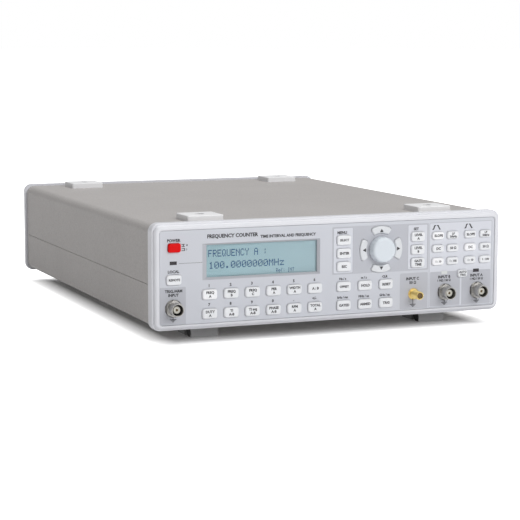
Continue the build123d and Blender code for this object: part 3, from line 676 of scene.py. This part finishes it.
# Five by seven dot patterns of the display's characters, rows from the top.
GLYPHS = {
    "F": "11111 10000 10000 11110 10000 10000 10000", "R": "11110 10001 10001 11110 10100 10010 10001",
    "E": "11111 10000 10000 11110 10000 10000 11111", "Q": "01110 10001 10001 10001 10101 10010 01101",
    "U": "10001 10001 10001 10001 10001 10001 01110", "N": "10001 11001 10101 10011 10001 10001 10001",
    "C": "01110 10001 10000 10000 10000 10001 01110", "Y": "10001 10001 01010 00100 00100 00100 00100",
    "A": "01110 10001 10001 11111 10001 10001 10001", ":": "00000 00100 00100 00000 00100 00100 00000",
    "1": "00100 01100 00100 00100 00100 00100 01110", "0": "01110 10001 10011 10101 11001 10001 01110",
    ".": "00000 00000 00000 00000 00000 01100 01100", "M": "10001 11011 10101 10101 10001 10001 10001",
    "H": "10001 10001 10001 11111 10001 10001 10001", "z": "00000 00000 11111 00010 00100 01000 11111",
    "I": "01110 00100 00100 00100 00100 00100 01110", "T": "11111 00100 00100 00100 00100 00100 00100",
    "e": "00000 00000 01110 10001 11111 10000 01110", "f": "00110 01001 01000 11100 01000 01000 01000",
}
# Words, left edge, height of the first row's middle, and the width and height of one dot.
DISPLAY_LINES = (
    ("FREQUENCY A :", -98.5, 56.85, 0.599, 0.733),
    ("100.0000000MHz", -98.0, 48.15, 0.715, 0.724),
    ("Ref: INT", -45.2, 41.15, 0.308, 0.443),
)


def display():
    """The lit field just in front of the module's glass, and the dots that make its characters."""
    low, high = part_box("display_window")
    field = bar(((high.x - low.x) / MM - 6.4, 0.04, (high.z - low.z) / MM - 2.4))
    glass_y = high.y + 0.24 * MM
    field.transform(Matrix.Translation(((low.x + high.x) / 2, glass_y, (low.z + high.z) / 2)))
    add_piece("display_field", mesh_from(field, "display_field"), "lcd")
    dots = bmesh.new()
    for words, left, top, wide, tall in DISPLAY_LINES:
        for place, letter in enumerate(words):
            if letter == " ":
                continue
            for row, bits in enumerate(GLYPHS[letter].split()):
                for column, bit in enumerate(bits):
                    if bit == "1":
                        x = (left + (place * 6 + column) * wide) * MM
                        z = BASE_Z + (top - row * tall) * MM
                        half = wide * MM * 0.49
                        stroke(dots, (x - half, z), (x + half, z), tall * 0.98, glass_y - 0.05 * MM)
    add_piece("display_dots", mesh_from(dots, "display_dots"), "ink_lcd")


# ---------------------------------------------------------------- sockets, knob and lamps


def socket_piece(name, part, made, place, material):
    """One piece of a socket, moved from the origin to its place."""
    made.transform(place)
    return add_piece(f"{name}_{part}", mesh_from(made, name), material, smooth=35)


def bayonet_pieces(name, place, turn):
    """A bayonet socket: washer and nut, turned barrel with its lugs, insulator and contact."""
    barrel = [(0, -1), (5.05, -1), (5.05, -3.6), (4.75, -4.0), (4.75, -4.3), (4.8, -4.4), (4.8, -10.6),
              (4.65, -11.0), (4.25, -11.0), (4.05, -10.8), (4.05, -3.0), (0, -3.0)]
    shell = [
        (turned([(0, 0), (6.3, 0), (6.3, -0.4), (6.1, -0.6), (0, -0.6)]), Matrix.Identity(4)),
        (hexagon(11.2, 2.4, chamfer=0.25), Matrix.Translation((0, -0.6 * MM, 0))),
        (turned(barrel, 72), Matrix.Identity(4)),
    ]
    for side in (-1, 1):
        lug = turned([(0, 0), (0.95, 0), (0.95, -0.62), (0.8, -0.78), (0, -0.78)], 24)
        lean = Matrix.Rotation(side * math.pi / 2, 4, "X")
        shell.append((lug, Matrix.Translation((0, -6.4 * MM, side * 4.76 * MM)) @ lean))
    insulator = [(0, -3.0), (2.7, -3.0), (2.7, -8.3), (2.45, -8.6), (1.05, -8.6), (0.95, -8.4),
                 (0.95, -5), (0, -5)]
    contact = [(0, -4.9), (0.9, -4.9), (0.9, -8.1), (0.75, -8.3), (0.5, -8.3), (0.45, -8.1),
               (0.45, -6.0), (0, -6.0)]
    matrix = Matrix.Translation(place) @ turn
    return [
        socket_piece(name, "shell", merged(shell), matrix, "nickel"),
        socket_piece(name, "insulator", turned(insulator, 40), matrix, "insulator"),
        socket_piece(name, "contact", turned(contact, 28), matrix, "contact"),
    ]


def threaded_pieces(name, place):
    """A small gold socket with a rolled thread on its barrel."""
    profile = [(0, 0), (4.4, 0), (4.4, -1.1), (4.1, -1.4), (3.0, -1.5), (3.0, -2.4)]
    pitch, root, crest = 0.706, 2.86, 3.17
    for i in range(12):
        y = -2.5 - i * pitch
        profile += [(root, y), (crest, y - pitch * 0.35), (crest, y - pitch * 0.5),
                    (root, y - pitch * 0.85)]
    profile += [(root, -11.2), (3.05, -11.5), (3.05, -12.2), (2.85, -12.4), (2.5, -12.4), (2.3, -12.2),
                (2.3, -7.0), (0, -7.0)]
    insulator = [(0, -7.0), (2.05, -7.0), (2.05, -11.4), (1.95, -11.6), (0.7, -11.6), (0.6, -11.4),
                 (0.6, -9), (0, -9)]
    contact = [(0, -8.9), (0.55, -8.9), (0.55, -11.2), (0.4, -11.4), (0.25, -11.4), (0.2, -10), (0, -10)]
    matrix = Matrix.Translation(place)
    return [
        socket_piece(name, "shell", turned(profile, 64), matrix, "gold"),
        socket_piece(name, "insulator", turned(insulator, 40), matrix, "ptfe"),
        socket_piece(name, "contact", turned(contact, 24), matrix, "contact"),
    ]


# How far behind the front panel's face the front sockets are seated, and where all the sockets are
SOCKET_RECESS = 1.4
SOCKET_HEIGHT = 16.4
FRONT_SOCKETS = (("trigger_input", -126.6), ("input_b", 94.5), ("input_a", 122.6))
THREADED_SOCKET_X = 67.2
REAR_SOCKETS = (-20.0, 10.0, 40.0, 70.0)
REAR_SOCKET_HEIGHT = 54


def sockets():
    """All the coaxial sockets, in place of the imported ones."""
    pieces = []
    for name, x in FRONT_SOCKETS:
        pieces += bayonet_pieces(name, on_panel(x, SOCKET_HEIGHT, -SOCKET_RECESS), Matrix.Identity(4))
    pieces += threaded_pieces("input_c", on_panel(THREADED_SOCKET_X, SOCKET_HEIGHT, -SOCKET_RECESS))
    about = Matrix.Rotation(math.pi, 4, "Z")
    for i, x in enumerate(REAR_SOCKETS):
        place = Vector((x * MM, REAR_Y, BASE_Z + REAR_SOCKET_HEIGHT * MM))
        pieces += bayonet_pieces(f"rear_socket_{i + 1}", place, about)
    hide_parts("coax_sockets")


def knob():
    """Moulded knob: a shallow dished face, a rounded rim and soft finger flutes."""
    low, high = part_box("control_knob")
    centre = Vector(((low.x + high.x) / 2, 0, (low.z + high.z) / 2))
    front = (low.y - PANEL_Y) / MM
    widest = (high.x - low.x) / 2 / MM - 0.05
    face, rim = widest - 2.6, 2.15

    def flute(angle, radius, y):
        if radius < face + 0.6 or y < front + 0.6:
            return radius
        depth = 0.3 * min(1.0, (y - front - 0.6) / 1.5)
        return radius - depth * (0.5 + 0.5 * math.cos(16 * angle))

    profile = [(0, front + 0.25), (face - 3.3, front + 0.2), (face - 0.6, front + 0.02), (face, front)]
    for i in range(1, 11):
        angle = math.pi / 2 * i / 10
        profile.append((face + rim * math.sin(angle), front + rim * (1 - math.cos(angle))))
    profile += [(widest - 0.25, -3.3), (widest - 0.05, -1.5), (widest, -0.6), (widest - 0.2, -0.4),
                (0, -0.4)]
    made = turned(profile, 160, flute)
    made.transform(Matrix.Translation((centre.x, PANEL_Y, centre.z)))
    cap = add_piece("knob_cap", mesh_from(made, "knob_cap"), "knob", body="control_knob",
                    smooth=40)
    shaft = turned([(0, -0.4), (3.0, -0.4), (3.0, 9.8), (2.8, 10.0), (0, 10.0)], 40)
    shaft.transform(Matrix.Translation((centre.x, PANEL_Y, centre.z)))
    add_piece("knob_shaft", mesh_from(shaft, "knob_shaft"), "steel", body="control_knob",
              smooth=40)
    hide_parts("control_knob")


# Across, height on the panel, width and height of each lamp's window.
LAMPS = ((-126.7, 49.3, 5.4, 2.6), (121.4, 31.9, 5.2, 2.6), (93.6, 31.5, 5.2, 2.6))
LAMP_FINISH = ("lamp", "lamp", "lamp_pale")


def lamps():
    """A lens in each lamp's window."""
    for i, (x, height, width, tall) in enumerate(LAMPS):
        lens = bar((width - 0.1, 1.2, tall - 0.1), 0.12)
        lens.transform(Matrix.Translation(on_panel(x, height, -0.45)))
        mesh = mesh_from(lens, "lens")
        add_piece(f"lamp_lens_{i + 1}", mesh, LAMP_FINISH[i])


# ---------------------------------------------------------------- the rear and the screws

# Words on the rear panel: text, across, height on the panel, letter height.
REAR_WORDS = (
    ("LINE", -92.0, 57.0, 2.2), ("REF IN", -20.0, 63.4, 1.9), ("REF OUT", 10.0, 63.4, 1.9),
    ("GATE", 40.0, 63.4, 1.9), ("TRIG", 70.0, 63.4, 1.9), ("DATA", 50.0, 29.6, 1.9),
    ("BUS", 92.0, 28.8, 1.9),
)
INLET = (-92.0, 40.0)
INLET_SCREW = 20
INLET_SCREW_FACE = 4.8
DATA_SOCKET = (50.0, 20.3)
# Screw heads that show: in the rear bezel's corners and down in the stacking pads
CORNER_SCREW_X = 132
CORNER_SCREW_HEIGHTS = (9.2, 67.8)
CORNER_SCREW_FACE = 1.0
PAD_X = 94.6
PAD_DEPTHS = (32.3, 332.7)
PAD_SCREW_FACE = 4.0
RECESS_LIFT = 0.03


def rear_labels():
    """The words printed on the rear panel."""
    y = REAR_Y + INK_LIFT
    entries = [(words, x * MM, BASE_Z + h * MM, size, True) for words, x, h, size in REAR_WORDS]
    made = letters(entries, y, FACE_REAR)
    add_piece("rear_lettering", mesh_from(made, "rear_lettering"), "ink")


def inlet_blades():
    """Plated sleeves on the mains inlet's three blades."""
    parts = []
    for offset, rise in ((-7.0, -2.0), (0.0, 2.0), (7.0, -2.0)):
        blade = bar((2.16, 11.4, 4.16), 0.35)
        place = Vector(((INLET[0] + offset) * MM, REAR_Y - 7.7 * MM, BASE_Z + (INLET[1] + rise) * MM))
        parts.append((blade, Matrix.Translation(place)))
    add_piece("inlet_blades", mesh_from(merged(parts), "inlet_blades"), "nickel", smooth=35)


def data_socket_face():
    """The data connector's insulating face and its nine contacts."""
    x, height = DATA_SOCKET
    centre = Vector((x * MM, REAR_Y + 4.0 * MM, BASE_Z + height * MM))
    face = bar((16.4, 0.5, 8.0), 0.2)
    face.transform(Matrix.Translation(centre))
    add_piece("data_socket_face", mesh_from(face, "data_socket_face"), "black", smooth=35)
    contacts = []
    for row, count in ((1, 5), (-1, 4)):
        for i in range(count):
            place = Vector(((i - (count - 1) / 2) * 2.75 * MM, 0.3 * MM, row * 1.42 * MM))
            pin = turned([(0, -0.2), (0.55, -0.2), (0.55, 0.06), (0.42, 0.16), (0, 0.16)], 20)
            contacts.append((pin, Matrix.Translation(centre + place)))
    mesh = mesh_from(merged(contacts), "data_socket_contacts")
    add_piece("data_socket_contacts", mesh, "gold", smooth=35)


def recess_shade_cross(radius, width):
    """A thin dark cross of painted shade that stands for a driver recess, about the Y axis. It isn't cut
    in.
    """
    made = bmesh.new()
    stroke(made, (-radius * MM, 0), (radius * MM, 0), width, 0)
    stroke(made, (0, -radius * MM), (0, radius * MM), width, 0)
    return made


def screw_recess_shades():
    """Crosses of painted shade on the screw heads that show: four in the rear bezel, two at the inlet,
    four on the pads.
    """
    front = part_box("front_bezel")[0].y
    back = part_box("rear_bezel")[1].y
    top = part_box("top_cover")[1].z
    upward = Matrix.Rotation(math.pi / 2, 4, "X")
    crosses = []
    for side in (-1, 1):
        for height in CORNER_SCREW_HEIGHTS:
            y = back - (CORNER_SCREW_FACE - RECESS_LIFT) * MM
            place = Vector((side * CORNER_SCREW_X * MM, y, BASE_Z + height * MM))
            crosses.append((recess_shade_cross(2.1, 0.9), Matrix.Translation(place)))
        y = REAR_Y + (INLET_SCREW_FACE + RECESS_LIFT) * MM
        place = Vector(((INLET[0] + side * INLET_SCREW) * MM, y, BASE_Z + INLET[1] * MM))
        crosses.append((recess_shade_cross(1.6, 0.7), Matrix.Translation(place)))
        for depth in PAD_DEPTHS:
            z = top + (PAD_SCREW_FACE + RECESS_LIFT) * MM
            place = Vector((side * PAD_X * MM, front + depth * MM, z))
            crosses.append((recess_shade_cross(1.6, 0.7), Matrix.Translation(place) @ upward))
    add_piece("screw_recess_shades", mesh_from(merged(crosses), "screw_recess_shades"), "black")


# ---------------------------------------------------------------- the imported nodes' finishes

NODE_FINISH = {
    "front_bezel": "bezel", "rear_bezel": "bezel", "front_panel": "panel", "display_window": "glass",
    "front_board": "board", "main_board": "main_board", "top_cover": "case", "bottom_cover": "case",
    "rear_panel": "rear", "mains_inlet": "black", "stacking_pads": "pad", "bottom_feet": "foot",
    "screws": "steel", "power_button": "red", "left_tilt_leg": "black", "right_tilt_leg": "black",
    "coax_sockets": "nickel", "control_knob": "knob",
}


def finish_nodes():
    """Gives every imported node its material."""
    for name, node in NODES.items():
        if name in NODE_FINISH:
            dress(node, NODE_FINISH[name])
        elif name.startswith("arrow"):
            dress(node, "arrow")
        else:
            dress(node, "key_lit" if name in LIT_KEYS else "key")


# ---------------------------------------------------------------- stage

SKY_LIGHT = 0.22
# Where the floor's emission rises: from the middle of the scene for the light that it gives, and
# from the model's outline for the backdrop that the camera sees
GLOW_NEAR, GLOW_FAR = 0.35, 2.2
BACKDROP_NEAR, BACKDROP_FAR = -0.022, 0.003
# Place, aim, size and power of each light
LIGHTS = {
    "overhead": ((0.1, 0.35, 1.9), (0.0, 0.0, 0.05), (1.5, 1.5), 25),
    "front": ((0.7, -2.3, 1.3), (0.0, -0.1, 0.05), (1.6, 1.2), 34),
}
# Camera's place in metres, its turns in degrees and its lens in millimetres
CAMERA_PLACE = (-0.52252, -1.29845, 0.21675)
CAMERA_TILT, CAMERA_ROLL, CAMERA_HEADING = -7.449, -0.133, -22.445
CAMERA_LENS = 115.654


def stage():
    """A pale floor that fades to white, a white world, two soft lights and the camera."""
    floor_shader = Shader("studio_floor", roughness=0.6)
    floor_shader.colour(floor_shader.mottled((0.90, 0.90, 0.90), 0.004, 0.5))
    floor_shader.set("Emission Color", (1.0, 1.0, 1.0, 1.0))
    near, far = CAD_BOX
    centre = ((near[0] + far[0]) / 2, (near[1] + far[1]) / 2)
    half = ((far[0] - near[0]) / 2, (far[1] - near[1]) / 2)
    edge = rounded_box(floor_shader, centre, half, 0.02, "XY")
    backdrop = floor_shader.ranged(edge, 0.0, 1.0, BACKDROP_NEAR, BACKDROP_FAR)
    path = floor_shader.node("ShaderNodeLightPath")
    seen = floor_shader.math("MULTIPLY", backdrop, path.outputs["Is Camera Ray"])
    reach = floor_shader.node("ShaderNodeVectorMath", operation="LENGTH")
    floor_shader.link(floor_shader.coordinates, reach.inputs[0])
    glow = floor_shader.ranged(reach.outputs["Value"], 0.03, 1.0, GLOW_NEAR, GLOW_FAR)
    strength = floor_shader.math("MAXIMUM", seen, glow)
    floor_shader.link(strength, floor_shader.principled.inputs["Emission Strength"])
    made = bmesh.new()
    bmesh.ops.create_grid(made, x_segments=1, y_segments=1, size=40.0)
    floor = bpy.data.objects.new("floor", mesh_from(made, "floor"))
    bpy.context.scene.collection.objects.link(floor)
    floor.data.materials.append(floor_shader.material)

    world = bpy.data.worlds.new("studio")
    bpy.context.scene.world = world
    world.use_nodes = True
    background = world.node_tree.nodes["Background"]
    background.inputs["Color"].default_value = (1.0, 1.0, 1.0, 1.0)
    path = world.node_tree.nodes.new("ShaderNodeLightPath")
    strength = world.node_tree.nodes.new("ShaderNodeMapRange")
    strength.inputs["To Min"].default_value = SKY_LIGHT
    strength.inputs["To Max"].default_value = 1.0
    world.node_tree.links.new(path.outputs["Is Camera Ray"], strength.inputs["Value"])
    world.node_tree.links.new(strength.outputs["Result"], background.inputs["Strength"])

    for name, (place, target, size, power) in LIGHTS.items():
        data = bpy.data.lights.new(name, "AREA")
        data.shape = "RECTANGLE"
        data.size, data.size_y = size
        data.energy = power
        light = bpy.data.objects.new(name, data)
        light.location = place
        light.rotation_euler = (Vector(target) - Vector(place)).to_track_quat("-Z", "Y").to_euler()
        bpy.context.scene.collection.objects.link(light)

    bpy.context.scene.view_settings.view_transform = "Standard"

    camera_data = bpy.data.cameras.new("camera")
    camera_data.sensor_width = 36.0
    camera_data.lens = CAMERA_LENS
    camera = bpy.data.objects.new("camera", camera_data)
    camera.location = CAMERA_PLACE
    turns = (90 + CAMERA_TILT, CAMERA_ROLL, CAMERA_HEADING)
    camera.rotation_euler = [math.radians(turn) for turn in turns]
    bpy.context.scene.collection.objects.link(camera)
    bpy.context.scene.camera = camera


finish_nodes()
key_legends()
arrow_marks()
panel_lettering()
panel_marks()
display()
sockets()
knob()
lamps()
rear_labels()
inlet_blades()
data_socket_face()
screw_recess_shades()
stage()
